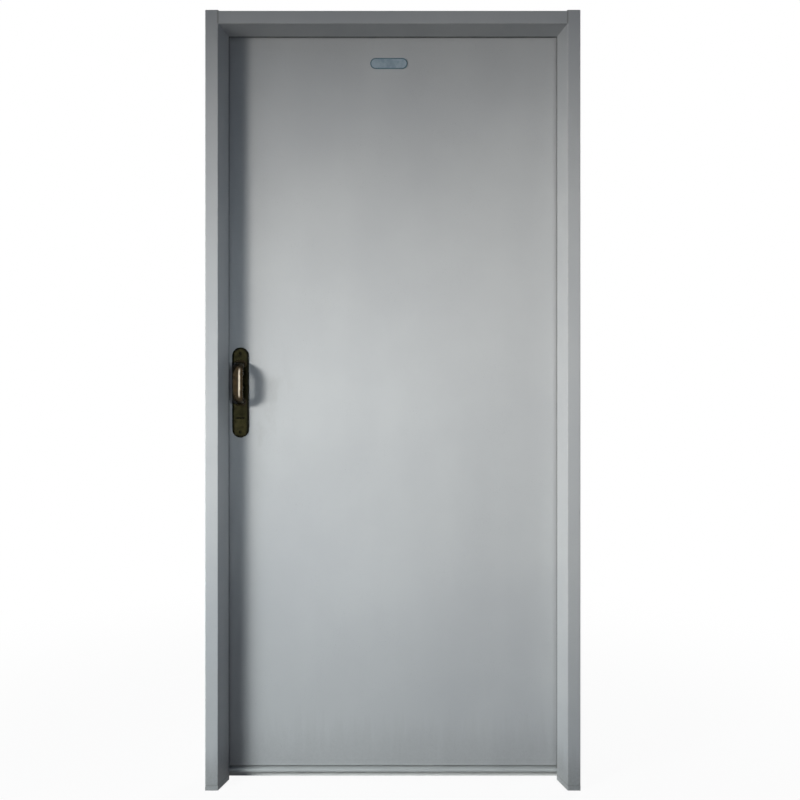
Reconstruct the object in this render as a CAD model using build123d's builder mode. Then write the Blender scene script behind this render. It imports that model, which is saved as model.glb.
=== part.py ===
"""Flush steel door set: a hollow sheet steel leaf hung in a folded steel frame.

Millimetres. X runs along the wall, positive towards the hinges. Y runs through the wall, away from
the splayed side. Z is up. The origin is on the floor, at the middle of the sill's underside, in the
middle of the closed leaf's thickness.
"""

import os

from build123d import *

os.makedirs("parts", exist_ok=True)

# Frame members, folded from sheet
frame_width = 1010.0
frame_height = 2100.0
frame_sheet = 1.6
frame_bend = 2.4
jamb_face = 34.5
head_face = 36.5
head_drop = 2.0
reveal_depth = 70.0
jamb_splay = 19.0
head_splay = 17.0
jamb_stop = 20.0
head_stop = 20.0
wall_lip = 15.0
foot_height = 12.0
foot_bevel = 1.0

# Running gaps round the leaf
leaf_gap = 5.0
sill_gap = 5.8
seal_thickness = 2.0
seal_width = 10.5

# Sill: a plate with a weathered nosing on a base set back from it
sill_base_height = 22.5
sill_base_set_back = 27.0
sill_thickness = 8.0
sill_nosing = 9.0
sill_weathering = 2.3

# Leaf, two folded skins on a core
leaf_thickness = 45.0
leaf_sheet = 1.0
leaf_bend = 1.6
lock_edge_bevel = 2.5
skin_seam = 0.6
channel_sheet = 1.2
channel_bend = 1.6
channel_leg = 25.0
inside_room = 1.5

# Hinges
hinge_height = 100.0
hinge_leaf_thickness = 2.0
hinge_leaf_width = 35.0
hinge_inset = 225.0
knuckle_radius = 6.0
knuckle_count = 3
knuckle_play = 0.4
knuckle_stand_off = 7.5
pin_radius = 3.0
pin_play = 0.05
pin_tip_radius = 5.0
pin_tip_height = 4.0

# Lock in the leaf's free edge and its keep in the jamb
lock_height = 972.0
forend_length = 170.0
forend_width = 20.0
forend_thickness = 2.5
lock_case_height = 90.0
lock_case_thickness = 14.0
lock_case_depth = 70.0
bolt_height = 26.0
bolt_width = 11.0
bolt_depth = 36.0
bolt_set_back = 0.4
bolt_play = 0.4
lock_play = 0.3
keep_room = 3.0
keep_sheet = 1.6
keep_depth = 22.0

# Pull handle on each face
handle_backset = 45.5
handle_plate_z = 1066.5
handle_plate_length = 249.0
handle_plate_width = 46.0
handle_plate_thickness = 5.0
handle_plate_bevel_in = 5.0
handle_plate_bevel_drop = 3.0
grip_rise = 26.5
grip_half_length = 52.5
grip_reach = 50.0
grip_corner = 36.0
grip_width = 28.0
grip_thickness = 15.0
grip_crown = 4.5
grip_edge = 3.0
grip_foot_width = 34.0
grip_foot_height = 21.0
grip_foot_thickness = 4.0
grip_foot_bevel = 1.6
key_slit_drop = 69.5
key_slit_width = 25.0
key_slit_height = 4.0
key_slit_depth = 2.0
key_cover_width = 32.0
key_cover_length = 47.0
key_cover_thickness = 2.6
key_cover_corner = 5.0
key_cover_bevel = 0.9

# Name plate, blank
name_plate_shift = -11.4
name_plate_drop = 86.0
name_plate_length = 103.0
name_plate_width = 30.0
name_plate_thickness = 1.6
name_plate_rim = 2.2
name_plate_sink = 0.5

# Wall fixing holes through the rebates
fixing_radius = 5.5
fixing_y = -6.0
fixing_span_outer = 1300.0
fixing_span_inner = 500.0

# Planes worked out from the sizes above
half_width = frame_width / 2
leaf_front = -leaf_thickness / 2
leaf_back = leaf_thickness / 2
stop_rear = leaf_front - leaf_gap - seal_thickness
frame_front = stop_rear - reveal_depth
frame_back = leaf_back
face_x = half_width - jamb_face
stop_x = face_x - jamb_splay
rebate_x = stop_x + jamb_stop
leaf_half = rebate_x - leaf_gap
head_top = frame_height - head_drop
soffit_z = frame_height - head_face
stop_z = soffit_z - head_splay
rebate_z = stop_z + head_stop
sill_top = sill_base_height + sill_thickness
leaf_top = rebate_z - leaf_gap
leaf_bottom = sill_top + sill_gap
hinge_x = (leaf_half + rebate_x) / 2
hinge_y = leaf_back + knuckle_stand_off
handle_x = handle_backset - leaf_half
grip_z = handle_plate_z + grip_rise
key_slit_z = handle_plate_z - key_slit_drop
key_cover_top = key_slit_z - key_slit_height / 2
name_plate_z = leaf_top - name_plate_drop
fixing_middle = frame_height / 2
fixing_heights = [
    fixing_middle + share * span
    for span in (fixing_span_outer, fixing_span_inner)
    for share in (-0.5, 0.5)
]


def lock_edge_x(y):
    """Where the bevelled free edge of the leaf lies at a depth y."""
    return -leaf_half + lock_edge_bevel * (leaf_back - y) / leaf_thickness


def jamb_fold(side):
    """The visible side of a jamb's sheet in plan, from the front lip round to the back lip."""
    return [
        (side * half_width, frame_front + wall_lip),
        (side * half_width, frame_front),
        (side * face_x, frame_front),
        (side * stop_x, stop_rear),
        (side * rebate_x, stop_rear),
        (side * rebate_x, frame_back),
        (side * half_width, frame_back),
        (side * half_width, frame_back - wall_lip),
    ]


def leaf_inside():
    """The space between the skins in plan, short of their folded edges."""
    front = leaf_front + leaf_sheet
    back = leaf_back - leaf_sheet
    room = leaf_sheet + inside_room
    return [
        (lock_edge_x(front) + room, front),
        (leaf_half - room, front),
        (leaf_half - room, back),
        (lock_edge_x(back) + room, back),
    ]


lock_edge_normal = Vector(-leaf_thickness, -lock_edge_bevel, 0).normalized()
lock_plane = Plane(
    origin=(lock_edge_x(0), 0, lock_height), x_dir=(0, 0, 1), z_dir=lock_edge_normal
)

# Jambs: full height folded channels, open to the wall. A closed keep box backs the lock jamb's window
keep_width = bolt_width + 2 * keep_room
keep_height = bolt_height + 2 * keep_room
with BuildPart() as left_jamb:
    with BuildSketch(Plane.XY.offset(foot_height)):
        with BuildLine():
            FilletPolyline(*jamb_fold(-1), radius=frame_bend)
            offset(amount=frame_sheet, side=Side.LEFT, closed=True)
        make_face()
    extrude(amount=frame_height - foot_height)
    with BuildSketch(Plane.YZ.offset(-rebate_x - frame_sheet)):
        with Locations(*[(fixing_y, z) for z in fixing_heights]):
            Circle(fixing_radius)
    extrude(amount=frame_sheet, mode=Mode.SUBTRACT)
    with BuildSketch(Plane.YZ.offset(-rebate_x - frame_sheet)):
        with Locations((0, lock_height)):
            Rectangle(keep_width + 2 * keep_sheet, keep_height + 2 * keep_sheet)
    extrude(amount=-keep_depth)
    with BuildSketch(Plane.YZ.offset(-rebate_x)):
        with Locations((0, lock_height)):
            Rectangle(keep_width, keep_height)
    extrude(amount=keep_sheet - frame_sheet - keep_depth, mode=Mode.SUBTRACT)
left_jamb.part.label = "left_jamb"
export_step(left_jamb.part, "parts/left_jamb.step")

with BuildPart() as right_jamb:
    with BuildSketch(Plane.XY.offset(foot_height)):
        with BuildLine():
            FilletPolyline(*jamb_fold(1), radius=frame_bend)
            offset(amount=frame_sheet, side=Side.RIGHT, closed=True)
        make_face()
    extrude(amount=frame_height - foot_height)
    with BuildSketch(Plane.YZ.offset(rebate_x)):
        with Locations(*[(fixing_y, z) for z in fixing_heights]):
            Circle(fixing_radius)
    extrude(amount=frame_sheet, mode=Mode.SUBTRACT)
right_jamb.part.label = "right_jamb"
export_step(right_jamb.part, "parts/right_jamb.step")

# Head: a folded channel with a splayed soffit, coped to the jambs, whose tops stand a little higher
with BuildPart() as head:
    with BuildSketch(Plane.YZ):
        with BuildLine():
            FilletPolyline(
                (frame_front + wall_lip, head_top),
                (frame_front, head_top),
                (frame_front, soffit_z),
                (stop_rear, stop_z),
                (stop_rear, rebate_z),
                (frame_back, rebate_z),
                (frame_back, head_top),
                (frame_back - wall_lip, head_top),
                radius=frame_bend,
            )
            offset(amount=frame_sheet, side=Side.LEFT, closed=True)
        make_face()
    extrude(amount=half_width, both=True)
    with BuildSketch(Plane.XY.offset(stop_z)) as cope:
        with BuildLine():
            Polyline(*jamb_fold(1)[2:6], *jamb_fold(-1)[5:1:-1], close=True)
        make_face()
        cope_corners = [
            cope.vertices().sort_by_distance((side * rebate_x, stop_rear, 0))[0] for side in (-1, 1)
        ]
        fillet(cope_corners, radius=frame_bend)
    extrude(amount=head_top - stop_z, mode=Mode.INTERSECT)
head.part.label = "head"
export_step(head.part, "parts/head.step")

# Feet: solid pads that close the lower end of each jamb
with BuildPart() as left_foot:
    with BuildSketch():
        with BuildLine():
            Polyline(*jamb_fold(-1)[1:7], close=True)
        make_face()
    extrude(amount=foot_height)
    chamfer(left_foot.faces().sort_by(Axis.Z)[-1].edges(), length=foot_bevel)
left_foot.part.label = "left_foot"
export_step(left_foot.part, "parts/left_foot.step")

with BuildPart() as right_foot:
    with BuildSketch():
        with BuildLine():
            Polyline(*jamb_fold(1)[1:7], close=True)
        make_face()
    extrude(amount=foot_height)
    chamfer(right_foot.faces().sort_by(Axis.Z)[-1].edges(), length=foot_bevel)
right_foot.part.label = "right_foot"
export_step(right_foot.part, "parts/right_foot.step")

# Sill: a plate between the rebates, its nosing shows in front of the leaf, on a base set back under it
nosing_y = leaf_front - sill_nosing
nosing_x = stop_x + jamb_splay * (stop_rear - nosing_y) / reveal_depth
base_front = nosing_y + sill_base_set_back
with BuildPart() as sill:
    with BuildSketch(Plane.XY.offset(sill_base_height)) as sill_plan:
        with BuildLine():
            Polyline(
                (-nosing_x, nosing_y),
                (nosing_x, nosing_y),
                (stop_x, stop_rear),
                (rebate_x, stop_rear),
                (rebate_x, frame_back),
                (-rebate_x, frame_back),
                (-rebate_x, stop_rear),
                (-stop_x, stop_rear),
                close=True,
            )
        make_face()
        sill_corners = [
            sill_plan.vertices().sort_by_distance((side * rebate_x, stop_rear, 0))[0] for side in (-1, 1)
        ]
        fillet(sill_corners, radius=frame_bend)
    extrude(amount=sill_thickness)
    sill_face = sill.faces().sort_by(Axis.Z)[-1]
    chamfer(
        sill_face.edges().filter_by(Axis.X).sort_by(Axis.Y)[0],
        length=sill_nosing,
        length2=sill_weathering,
        reference=sill_face,
    )
    with BuildSketch():
        with Locations((0, base_front)):
            Rectangle(2 * rebate_x, frame_back - base_front, align=(Align.CENTER, Align.MIN))
    extrude(amount=sill_base_height)
sill.part.label = "sill"
export_step(sill.part, "parts/sill.step")

# Seals: flat strips bonded to the rear of the stops
with BuildPart() as left_seal:
    with BuildSketch(Plane.XY.offset(sill_top)):
        with Locations((-stop_x, stop_rear)):
            Rectangle(seal_width, seal_thickness, align=(Align.MAX, Align.MIN))
    extrude(amount=stop_z - sill_top)
left_seal.part.label = "left_seal"
export_step(left_seal.part, "parts/left_seal.step")

with BuildPart() as right_seal:
    with BuildSketch(Plane.XY.offset(sill_top)):
        with Locations((stop_x, stop_rear)):
            Rectangle(seal_width, seal_thickness, align=(Align.MIN, Align.MIN))
    extrude(amount=stop_z - sill_top)
right_seal.part.label = "right_seal"
export_step(right_seal.part, "parts/right_seal.step")

with BuildPart() as head_seal:
    with BuildSketch(Plane.XY.offset(stop_z)):
        with Locations((0, stop_rear)):
            Rectangle(2 * (stop_x + seal_width), seal_thickness, align=(Align.CENTER, Align.MIN))
    extrude(amount=seal_width)
head_seal.part.label = "head_seal"
export_step(head_seal.part, "parts/head_seal.step")

# Leaf skins: trays folded round both upright edges, meeting at a seam in the middle of each edge
with BuildPart() as front_skin:
    with BuildSketch(Plane.XY.offset(leaf_bottom)):
        with BuildLine():
            FilletPolyline(
                (lock_edge_x(-skin_seam / 2), -skin_seam / 2),
                (lock_edge_x(leaf_front), leaf_front),
                (leaf_half, leaf_front),
                (leaf_half, -skin_seam / 2),
                radius=leaf_bend,
            )
            offset(amount=leaf_sheet, side=Side.LEFT, closed=True)
        make_face()
    extrude(amount=leaf_top - leaf_bottom)
    with BuildSketch(lock_plane):
        Rectangle(forend_length + 2 * lock_play, forend_width + 2 * lock_play)
    extrude(amount=-2 * leaf_sheet, both=True, mode=Mode.SUBTRACT)
front_skin.part.label = "front_skin"
export_step(front_skin.part, "parts/front_skin.step")

with BuildPart() as back_skin:
    with BuildSketch(Plane.XY.offset(leaf_bottom)):
        with BuildLine():
            FilletPolyline(
                (lock_edge_x(skin_seam / 2), skin_seam / 2),
                (lock_edge_x(leaf_back), leaf_back),
                (leaf_half, leaf_back),
                (leaf_half, skin_seam / 2),
                radius=leaf_bend,
            )
            offset(amount=leaf_sheet, side=Side.RIGHT, closed=True)
        make_face()
    extrude(amount=leaf_top - leaf_bottom)
    with BuildSketch(lock_plane):
        Rectangle(forend_length + 2 * lock_play, forend_width + 2 * lock_play)
    extrude(amount=-2 * leaf_sheet, both=True, mode=Mode.SUBTRACT)
back_skin.part.label = "back_skin"
export_step(back_skin.part, "parts/back_skin.step")

# Closing channels between the skins at the top and the bottom of the leaf
with BuildPart() as top_channel:
    with BuildSketch(Plane.YZ):
        with BuildLine():
            FilletPolyline(
                (leaf_front + leaf_sheet, leaf_top - channel_leg),
                (leaf_front + leaf_sheet, leaf_top),
                (leaf_back - leaf_sheet, leaf_top),
                (leaf_back - leaf_sheet, leaf_top - channel_leg),
                radius=channel_bend,
            )
            offset(amount=channel_sheet, side=Side.RIGHT, closed=True)
        make_face()
    extrude(amount=leaf_half, both=True)
    with BuildSketch(Plane.XY.offset(leaf_top)):
        with BuildLine():
            Polyline(*leaf_inside(), close=True)
        make_face()
    extrude(amount=-channel_leg, mode=Mode.INTERSECT)
top_channel.part.label = "top_channel"
export_step(top_channel.part, "parts/top_channel.step")

with BuildPart() as bottom_channel:
    with BuildSketch(Plane.YZ):
        with BuildLine():
            FilletPolyline(
                (leaf_front + leaf_sheet, leaf_bottom + channel_leg),
                (leaf_front + leaf_sheet, leaf_bottom),
                (leaf_back - leaf_sheet, leaf_bottom),
                (leaf_back - leaf_sheet, leaf_bottom + channel_leg),
                radius=channel_bend,
            )
            offset(amount=channel_sheet, side=Side.LEFT, closed=True)
        make_face()
    extrude(amount=leaf_half, both=True)
    with BuildSketch(Plane.XY.offset(leaf_bottom)):
        with BuildLine():
            Polyline(*leaf_inside(), close=True)
        make_face()
    extrude(amount=channel_leg, mode=Mode.INTERSECT)
bottom_channel.part.label = "bottom_channel"
export_step(bottom_channel.part, "parts/bottom_channel.step")

# Core: a block bonded between the skins, with a pocket for the lock
with BuildPart() as leaf_core:
    with BuildSketch(Plane.XY.offset(leaf_bottom + channel_leg)):
        with BuildLine():
            Polyline(*leaf_inside(), close=True)
        make_face()
    extrude(amount=leaf_top - leaf_bottom - 2 * channel_leg)
    with BuildSketch(lock_plane):
        Rectangle(lock_case_height + 2 * lock_play, lock_case_thickness)
    extrude(amount=-(forend_thickness + lock_case_depth + lock_play), mode=Mode.SUBTRACT)
    with BuildSketch(lock_plane):
        Rectangle(forend_length + 2 * lock_play, forend_width + 2 * lock_play)
    extrude(amount=-forend_thickness, mode=Mode.SUBTRACT)
leaf_core.part.label = "leaf_core"
export_step(leaf_core.part, "parts/leaf_core.step")

# Lock: a flat case behind a forend that lies flush in the bevelled edge
with BuildPart() as mortice_lock:
    with BuildSketch(lock_plane):
        SlotOverall(forend_length, forend_width)
    extrude(amount=-forend_thickness)
    with BuildSketch(lock_plane.offset(-forend_thickness)):
        Rectangle(lock_case_height, lock_case_thickness)
    extrude(amount=-lock_case_depth)
    with BuildSketch(lock_plane):
        Rectangle(bolt_height + bolt_play, bolt_width + bolt_play)
    extrude(amount=-(bolt_set_back + bolt_depth + bolt_play), mode=Mode.SUBTRACT)
mortice_lock.part.label = "mortice_lock"
export_step(mortice_lock.part, "parts/mortice_lock.step")

with BuildPart() as dead_bolt:
    with BuildSketch(lock_plane.offset(-bolt_set_back)):
        with Locations((-bolt_play / 2, 0)):
            Rectangle(bolt_height, bolt_width)
    extrude(amount=-bolt_depth)
dead_bolt.part.label = "dead_bolt"
export_step(dead_bolt.part, "parts/dead_bolt.step")

# Blank name plate high on the front face
with BuildPart() as name_plate:
    with BuildSketch(Plane.XZ.offset(-leaf_front)):
        with Locations((name_plate_shift, name_plate_z)):
            SlotOverall(name_plate_length, name_plate_width)
    extrude(amount=name_plate_thickness)
    with BuildSketch(Plane.XZ.offset(-leaf_front + name_plate_thickness)):
        with Locations((name_plate_shift, name_plate_z)):
            SlotOverall(name_plate_length - 2 * name_plate_rim, name_plate_width - 2 * name_plate_rim)
    extrude(amount=-name_plate_sink, mode=Mode.SUBTRACT)
name_plate.part.label = "name_plate"
export_step(name_plate.part, "parts/name_plate.step")

# Pull handles: a long plate with round ends, a bowed grip with a crowned face on oval feet, and a key cover
grip_half = grip_width / 2
grip_front = grip_thickness / 2
grip_shoulder = grip_front - grip_crown
with BuildSketch() as grip_outline:
    with BuildLine():
        ThreePointArc((grip_half, grip_shoulder), (0, grip_front), (-grip_half, grip_shoulder))
        Polyline(
            (-grip_half, grip_shoulder),
            (-grip_half, grip_edge - grip_front),
            (grip_edge - grip_half, -grip_front),
            (grip_half - grip_edge, -grip_front),
            (grip_half, grip_edge - grip_front),
            (grip_half, grip_shoulder),
        )
    make_face()
grip_section = grip_outline.sketch
for face_name, face_y, outward in (("front", leaf_front, -1), ("back", leaf_back, 1)):
    up = -outward
    outward_axis = Axis((0, 0, 0), (0, outward, 0))
    face_plane = Plane(origin=(handle_x, face_y, 0), x_dir=(1, 0, 0), z_dir=(0, outward, 0))
    plate_plane = face_plane.offset(handle_plate_thickness)

    with BuildPart() as handle_plate:
        with BuildSketch(face_plane):
            with Locations((0, up * handle_plate_z)):
                SlotOverall(handle_plate_length, handle_plate_width, rotation=90)
        extrude(amount=handle_plate_thickness)
        plate_face = handle_plate.faces().sort_by(outward_axis)[-1]
        chamfer(
            plate_face.edges(),
            length=handle_plate_bevel_in,
            length2=handle_plate_bevel_drop,
            reference=plate_face,
        )
        with BuildSketch(plate_plane):
            with Locations((0, up * key_slit_z)):
                SlotOverall(key_slit_width, key_slit_height)
        extrude(amount=-key_slit_depth, mode=Mode.SUBTRACT)
    handle_plate.part.label = face_name + "_handle_plate"
    export_step(handle_plate.part, "parts/" + face_name + "_handle_plate.step")

    with BuildPart() as grip:
        with BuildSketch(plate_plane):
            with Locations(*[(0, up * (grip_z + end * grip_half_length)) for end in (-1, 1)]):
                SlotOverall(grip_foot_width, grip_foot_height)
        extrude(amount=grip_foot_thickness)
        chamfer(grip.faces().group_by(outward_axis)[-1].edges(), length=grip_foot_bevel)
        bar_y = face_y + outward * (handle_plate_thickness + grip_reach)
        bend_y = bar_y - outward * grip_corner
        bar_half = grip_half_length - grip_corner
        bar_turn = 0 if outward > 0 else 180
        for end in (-1, 1):
            leg_turn = 0 if up * end > 0 else 180
            with BuildSketch(Plane.XY.offset(grip_z)):
                with Locations((handle_x, bar_y)):
                    add(grip_section, rotation=bar_turn)
            extrude(amount=end * bar_half)
            with BuildSketch(Plane.XY.offset(grip_z + end * bar_half)):
                with Locations((handle_x, bar_y)):
                    add(grip_section, rotation=bar_turn)
            bend_axis = Axis((handle_x, bend_y, grip_z + end * bar_half), (end * outward, 0, 0))
            revolve(axis=bend_axis, revolution_arc=90)
            with BuildSketch(plate_plane):
                with Locations((0, up * (grip_z + end * grip_half_length))):
                    add(grip_section, rotation=leg_turn)
            extrude(amount=grip_reach - grip_corner)
    grip.part.label = face_name + "_grip"
    export_step(grip.part, "parts/" + face_name + "_grip.step")

    with BuildPart() as key_cover:
        with BuildSketch(plate_plane):
            with Locations((0, up * (key_cover_top - key_cover_length / 2))):
                RectangleRounded(key_cover_width, key_cover_length, key_cover_corner)
        extrude(amount=key_cover_thickness)
        chamfer(key_cover.faces().sort_by(outward_axis)[-1].edges(), length=key_cover_bevel)
    key_cover.part.label = face_name + "_key_cover"
    export_step(key_cover.part, "parts/" + face_name + "_key_cover.step")

# Hinges: a flap on the jamb, a flap on the leaf and a pin through their knuckles
hinge_centres = {
    "top": leaf_top - hinge_inset,
    "middle": (leaf_top + leaf_bottom) / 2,
    "bottom": leaf_bottom + hinge_inset,
}
knuckle_pitch = hinge_height / knuckle_count
knuckle_length = knuckle_pitch - knuckle_play
for hinge_name, centre_z in hinge_centres.items():
    hinge_base = centre_z - hinge_height / 2
    flap_rear = leaf_back
    for flap_name, flap_x, flap_align, first in (
        ("frame_flap", rebate_x, Align.MAX, 0),
        ("leaf_flap", leaf_half, Align.MIN, 1),
    ):
        with BuildPart() as hinge_flap:
            with BuildSketch(Plane.XY.offset(hinge_base)):
                with Locations((flap_x, flap_rear)):
                    Rectangle(hinge_leaf_thickness, hinge_leaf_width, align=(flap_align, Align.MAX))
            extrude(amount=hinge_height)
            for knuckle in range(first, knuckle_count, 2):
                knuckle_z = hinge_base + knuckle * knuckle_pitch + knuckle_play / 2
                with BuildSketch(Plane.XY.offset(knuckle_z)):
                    with Locations((flap_x, flap_rear)):
                        Rectangle(
                            hinge_leaf_thickness, knuckle_stand_off, align=(flap_align, Align.MIN)
                        )
                    with Locations((hinge_x, hinge_y)):
                        Circle(knuckle_radius)
                        Circle(pin_radius + pin_play, mode=Mode.SUBTRACT)
                extrude(amount=knuckle_length)
        hinge_flap.part.label = hinge_name + "_hinge_" + flap_name
        export_step(hinge_flap.part, "parts/" + hinge_flap.part.label + ".step")

    with BuildPart() as hinge_pin:
        with BuildSketch(Plane.XY.offset(hinge_base)):
            with Locations((hinge_x, hinge_y)):
                Circle(pin_radius)
        extrude(amount=hinge_height)
        with BuildSketch(Plane.XY.offset(hinge_base + hinge_height - knuckle_play / 2)):
            with Locations((hinge_x, hinge_y)):
                Circle(pin_tip_radius)
        extrude(amount=pin_tip_height)
        with BuildSketch(Plane.XY.offset(hinge_base + knuckle_play / 2)):
            with Locations((hinge_x, hinge_y)):
                Circle(pin_tip_radius)
        extrude(amount=-pin_tip_height)
    hinge_pin.part.label = hinge_name + "_hinge_pin"
    export_step(hinge_pin.part, "parts/" + hinge_pin.part.label + ".step")
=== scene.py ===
"""Looks of a grey steel flush door in its frame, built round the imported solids."""

import logging
import math
from dataclasses import dataclass
from enum import Enum
from functools import reduce
from typing import Iterable, Optional, Sequence, Union

import bmesh
import bpy
from mathutils import Matrix, Vector


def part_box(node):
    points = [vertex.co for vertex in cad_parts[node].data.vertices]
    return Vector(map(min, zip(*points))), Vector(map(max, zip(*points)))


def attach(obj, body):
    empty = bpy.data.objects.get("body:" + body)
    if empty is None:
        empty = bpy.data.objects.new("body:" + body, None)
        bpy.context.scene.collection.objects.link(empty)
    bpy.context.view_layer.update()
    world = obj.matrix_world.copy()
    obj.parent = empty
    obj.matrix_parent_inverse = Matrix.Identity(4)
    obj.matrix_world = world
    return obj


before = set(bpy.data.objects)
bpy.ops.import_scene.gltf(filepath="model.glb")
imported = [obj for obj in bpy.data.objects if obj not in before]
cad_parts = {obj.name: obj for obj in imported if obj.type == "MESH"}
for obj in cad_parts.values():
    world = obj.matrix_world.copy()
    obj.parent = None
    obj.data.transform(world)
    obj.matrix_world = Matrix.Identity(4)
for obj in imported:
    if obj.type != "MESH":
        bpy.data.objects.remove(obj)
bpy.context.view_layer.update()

Colour = tuple[float, float, float]
Point = tuple[float, float, float]
Socket = bpy.types.NodeSocket
Material = bpy.types.Material
Tree = bpy.types.NodeTree
Node = bpy.types.Node
Fed = Union[float, Colour, Socket]

log = logging.getLogger("door")


class ScrewFacing(Enum):
    """The way that a screw head looks out of its surface, as a turn about X, Y and Z."""

    FRONT = (math.pi / 2, 0.0, 0.0)
    BACK = (-math.pi / 2, 0.0, 0.0)
    TO_LOCK = (0.0, -math.pi / 2, 0.0)
    TO_HINGE = (0.0, math.pi / 2, 0.0)


class Shows(Enum):
    """What a lamp does."""

    BOTH = "both"
    LIGHT = "light"
    REFLECTION = "reflection"


class Body(Enum):
    """The two bodies that the hinge joins."""

    FRAME = "frame"
    LEAF = "leaf"


@dataclass(frozen=True)
class Ramp:
    """A smooth step.

    Attributes:
        low: Where the step begins.
        high: Where the step ends.
        least: The result before the step.
        most: The result after the step.
    """

    low: float
    high: float
    least: float = 0.0
    most: float = 1.0


@dataclass(frozen=True)
class Grain:
    """Cloudy noise about 0.5.

    Attributes:
        scale: Its scale, per metre.
        detail: How many finer layers it has.
        roughness: How strong the finer layers are.
        stretch: A further factor on each axis, or None.
    """

    scale: float = 1.0
    detail: float = 3.0
    roughness: float = 0.5
    stretch: Optional[Point] = None


def linear(colour: Colour) -> Colour:
    """A colour as seen on screen, 0 to 255, as the linear values of the sRGB curve."""
    seen = (channel / 255 for channel in colour)
    return tuple(c / 12.92 if c <= 0.04045 else ((c + 0.055) / 1.055) ** 2.4 for c in seen)


class NodeSheet:
    """Adds nodes to one tree and wires them."""

    def __init__(self, tree: Tree) -> None:
        """Keeps the tree, which has no coordinates yet.

        Args:
            tree: The shader or geometry tree to add to.
        """
        self.tree = tree
        self.place: Optional[Socket] = None

    def feed(self, socket: Socket, value: Fed) -> None:
        """Links a socket to another, or sets its value.

        Args:
            socket: The input to feed.
            value: A socket, a number or a colour.
        """
        if isinstance(value, Socket):
            self.tree.links.new(value, socket)
        elif socket.type == "RGBA":
            socket.default_value = (*value, 1.0)
        else:
            socket.default_value = value

    def feed_all(self, node: Node, **fed: Fed) -> None:
        """Feeds several inputs of a node.

        Args:
            node: The node.
            **fed: Its inputs by name, with underscores for spaces.
        """
        for name, value in fed.items():
            self.feed(node.inputs[name.replace("_", " ")], value)

    def put(self, kind: str, **fed: Fed) -> Node:
        """A new node.

        Args:
            kind: The node's type.
            **fed: Its inputs by name, with underscores for spaces.

        Returns:
            The node.
        """
        node = self.tree.nodes.new(kind)
        self.feed_all(node, **fed)
        return node

    def math(self, operation: str, first: Fed, second: Fed = 0.0) -> Socket:
        """One sum of two values.

        Args:
            operation: The Math node's operation.
            first: The first value.
            second: The second value.

        Returns:
            The result's socket.
        """
        node = self.put("ShaderNodeMath")
        node.operation = operation
        self.feed(node.inputs[0], first)
        self.feed(node.inputs[1], second)
        return node.outputs[0]

    def add(self, first: Fed, second: Fed) -> Socket:
        """Two values added."""
        return self.math("ADD", first, second)

    def subtract(self, first: Fed, second: Fed) -> Socket:
        """The second value taken from the first."""
        return self.math("SUBTRACT", first, second)

    def multiply(self, *values: Fed) -> Socket:
        """Two or more values multiplied."""
        return reduce(lambda first, second: self.math("MULTIPLY", first, second), values)

    def apart(self, first: Fed, second: Fed) -> Socket:
        """How far two values lie apart."""
        return self.math("ABSOLUTE", self.subtract(first, second))

    def line_distance(self, point: Sequence[Fed], line: Sequence[float]) -> Socket:
        """How far a point lies from a line that runs along the third axis.

        Args:
            point: The point's place on the other two axes.
            line: The line's place on them.

        Returns:
            The distance's socket.
        """
        one, two = (self.math("POWER", self.subtract(p, at), 2.0) for p, at in zip(point, line))
        return self.math("SQRT", self.add(one, two))

    def step(self, value: Fed, ramp: Ramp) -> Socket:
        """A smooth step of a value.

        Args:
            value: The value to step on.
            ramp: The step.

        Returns:
            The result's socket.
        """
        node = self.put("ShaderNodeMapRange", Value=value, From_Min=ramp.low, From_Max=ramp.high,
                        To_Min=ramp.least, To_Max=ramp.most)
        node.interpolation_type = "SMOOTHSTEP"
        return node.outputs["Result"]

    def noise(self, grain: Grain, scale: Optional[Socket] = None) -> Socket:
        """Cloudy noise.

        Args:
            grain: The noise.
            scale: A scale to use in place of its own, or None.

        Returns:
            The noise value's socket.
        """
        place = self.place
        if grain.stretch:
            place = self.put("ShaderNodeMapping", Vector=place, Scale=grain.stretch).outputs[0]
        node = self.put("ShaderNodeTexNoise", Vector=place, Scale=scale or grain.scale,
                        Detail=grain.detail, Roughness=grain.roughness)
        return node.outputs["Fac"]

    def blend(self, share: Fed, first: Fed, second: Fed, mode: str = "MIX") -> Socket:
        """Two colours blended.

        Args:
            share: How much of the second, 0 to 1.
            first: The first colour.
            second: The second colour.
            mode: The Mix node's blend mode.

        Returns:
            The colour's socket.
        """
        node = self.put("ShaderNodeMix")
        node.data_type = "RGBA"
        node.blend_type = mode
        self.feed(node.inputs["Factor"], share)
        colours = [s for s in node.inputs if s.type == "RGBA"]
        self.feed(colours[0], first)
        self.feed(colours[1], second)
        return next(s for s in node.outputs if s.type == "RGBA")

    def axes(self) -> tuple[Socket, ...]:
        """The three parts of the coordinates."""
        return tuple(self.put("ShaderNodeSeparateXYZ", Vector=self.place).outputs)

    def bump(self, height: Fed, strength: float, distance: float) -> Socket:
        """A normal bent by a height.

        Args:
            height: The height.
            strength: How much of it shows, 0 to 1.
            distance: What a height of 1 stands for, in metres.

        Returns:
            The normal's socket.
        """
        node = self.put("ShaderNodeBump", Height=height, Strength=strength, Distance=distance)
        return node.outputs["Normal"]

    def group(self, tree: Tree, **fed: Fed) -> bpy.types.NodeOutputs:
        """Places a shared effect.

        Args:
            tree: The effect's group.
            **fed: Its inputs but for the coordinates, with underscores for spaces.

        Returns:
            The group's outputs.
        """
        node = self.put("ShaderNodeGroup")
        node.node_tree = tree
        self.feed_all(node, Place=self.place, **fed)
        return node.outputs


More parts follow.
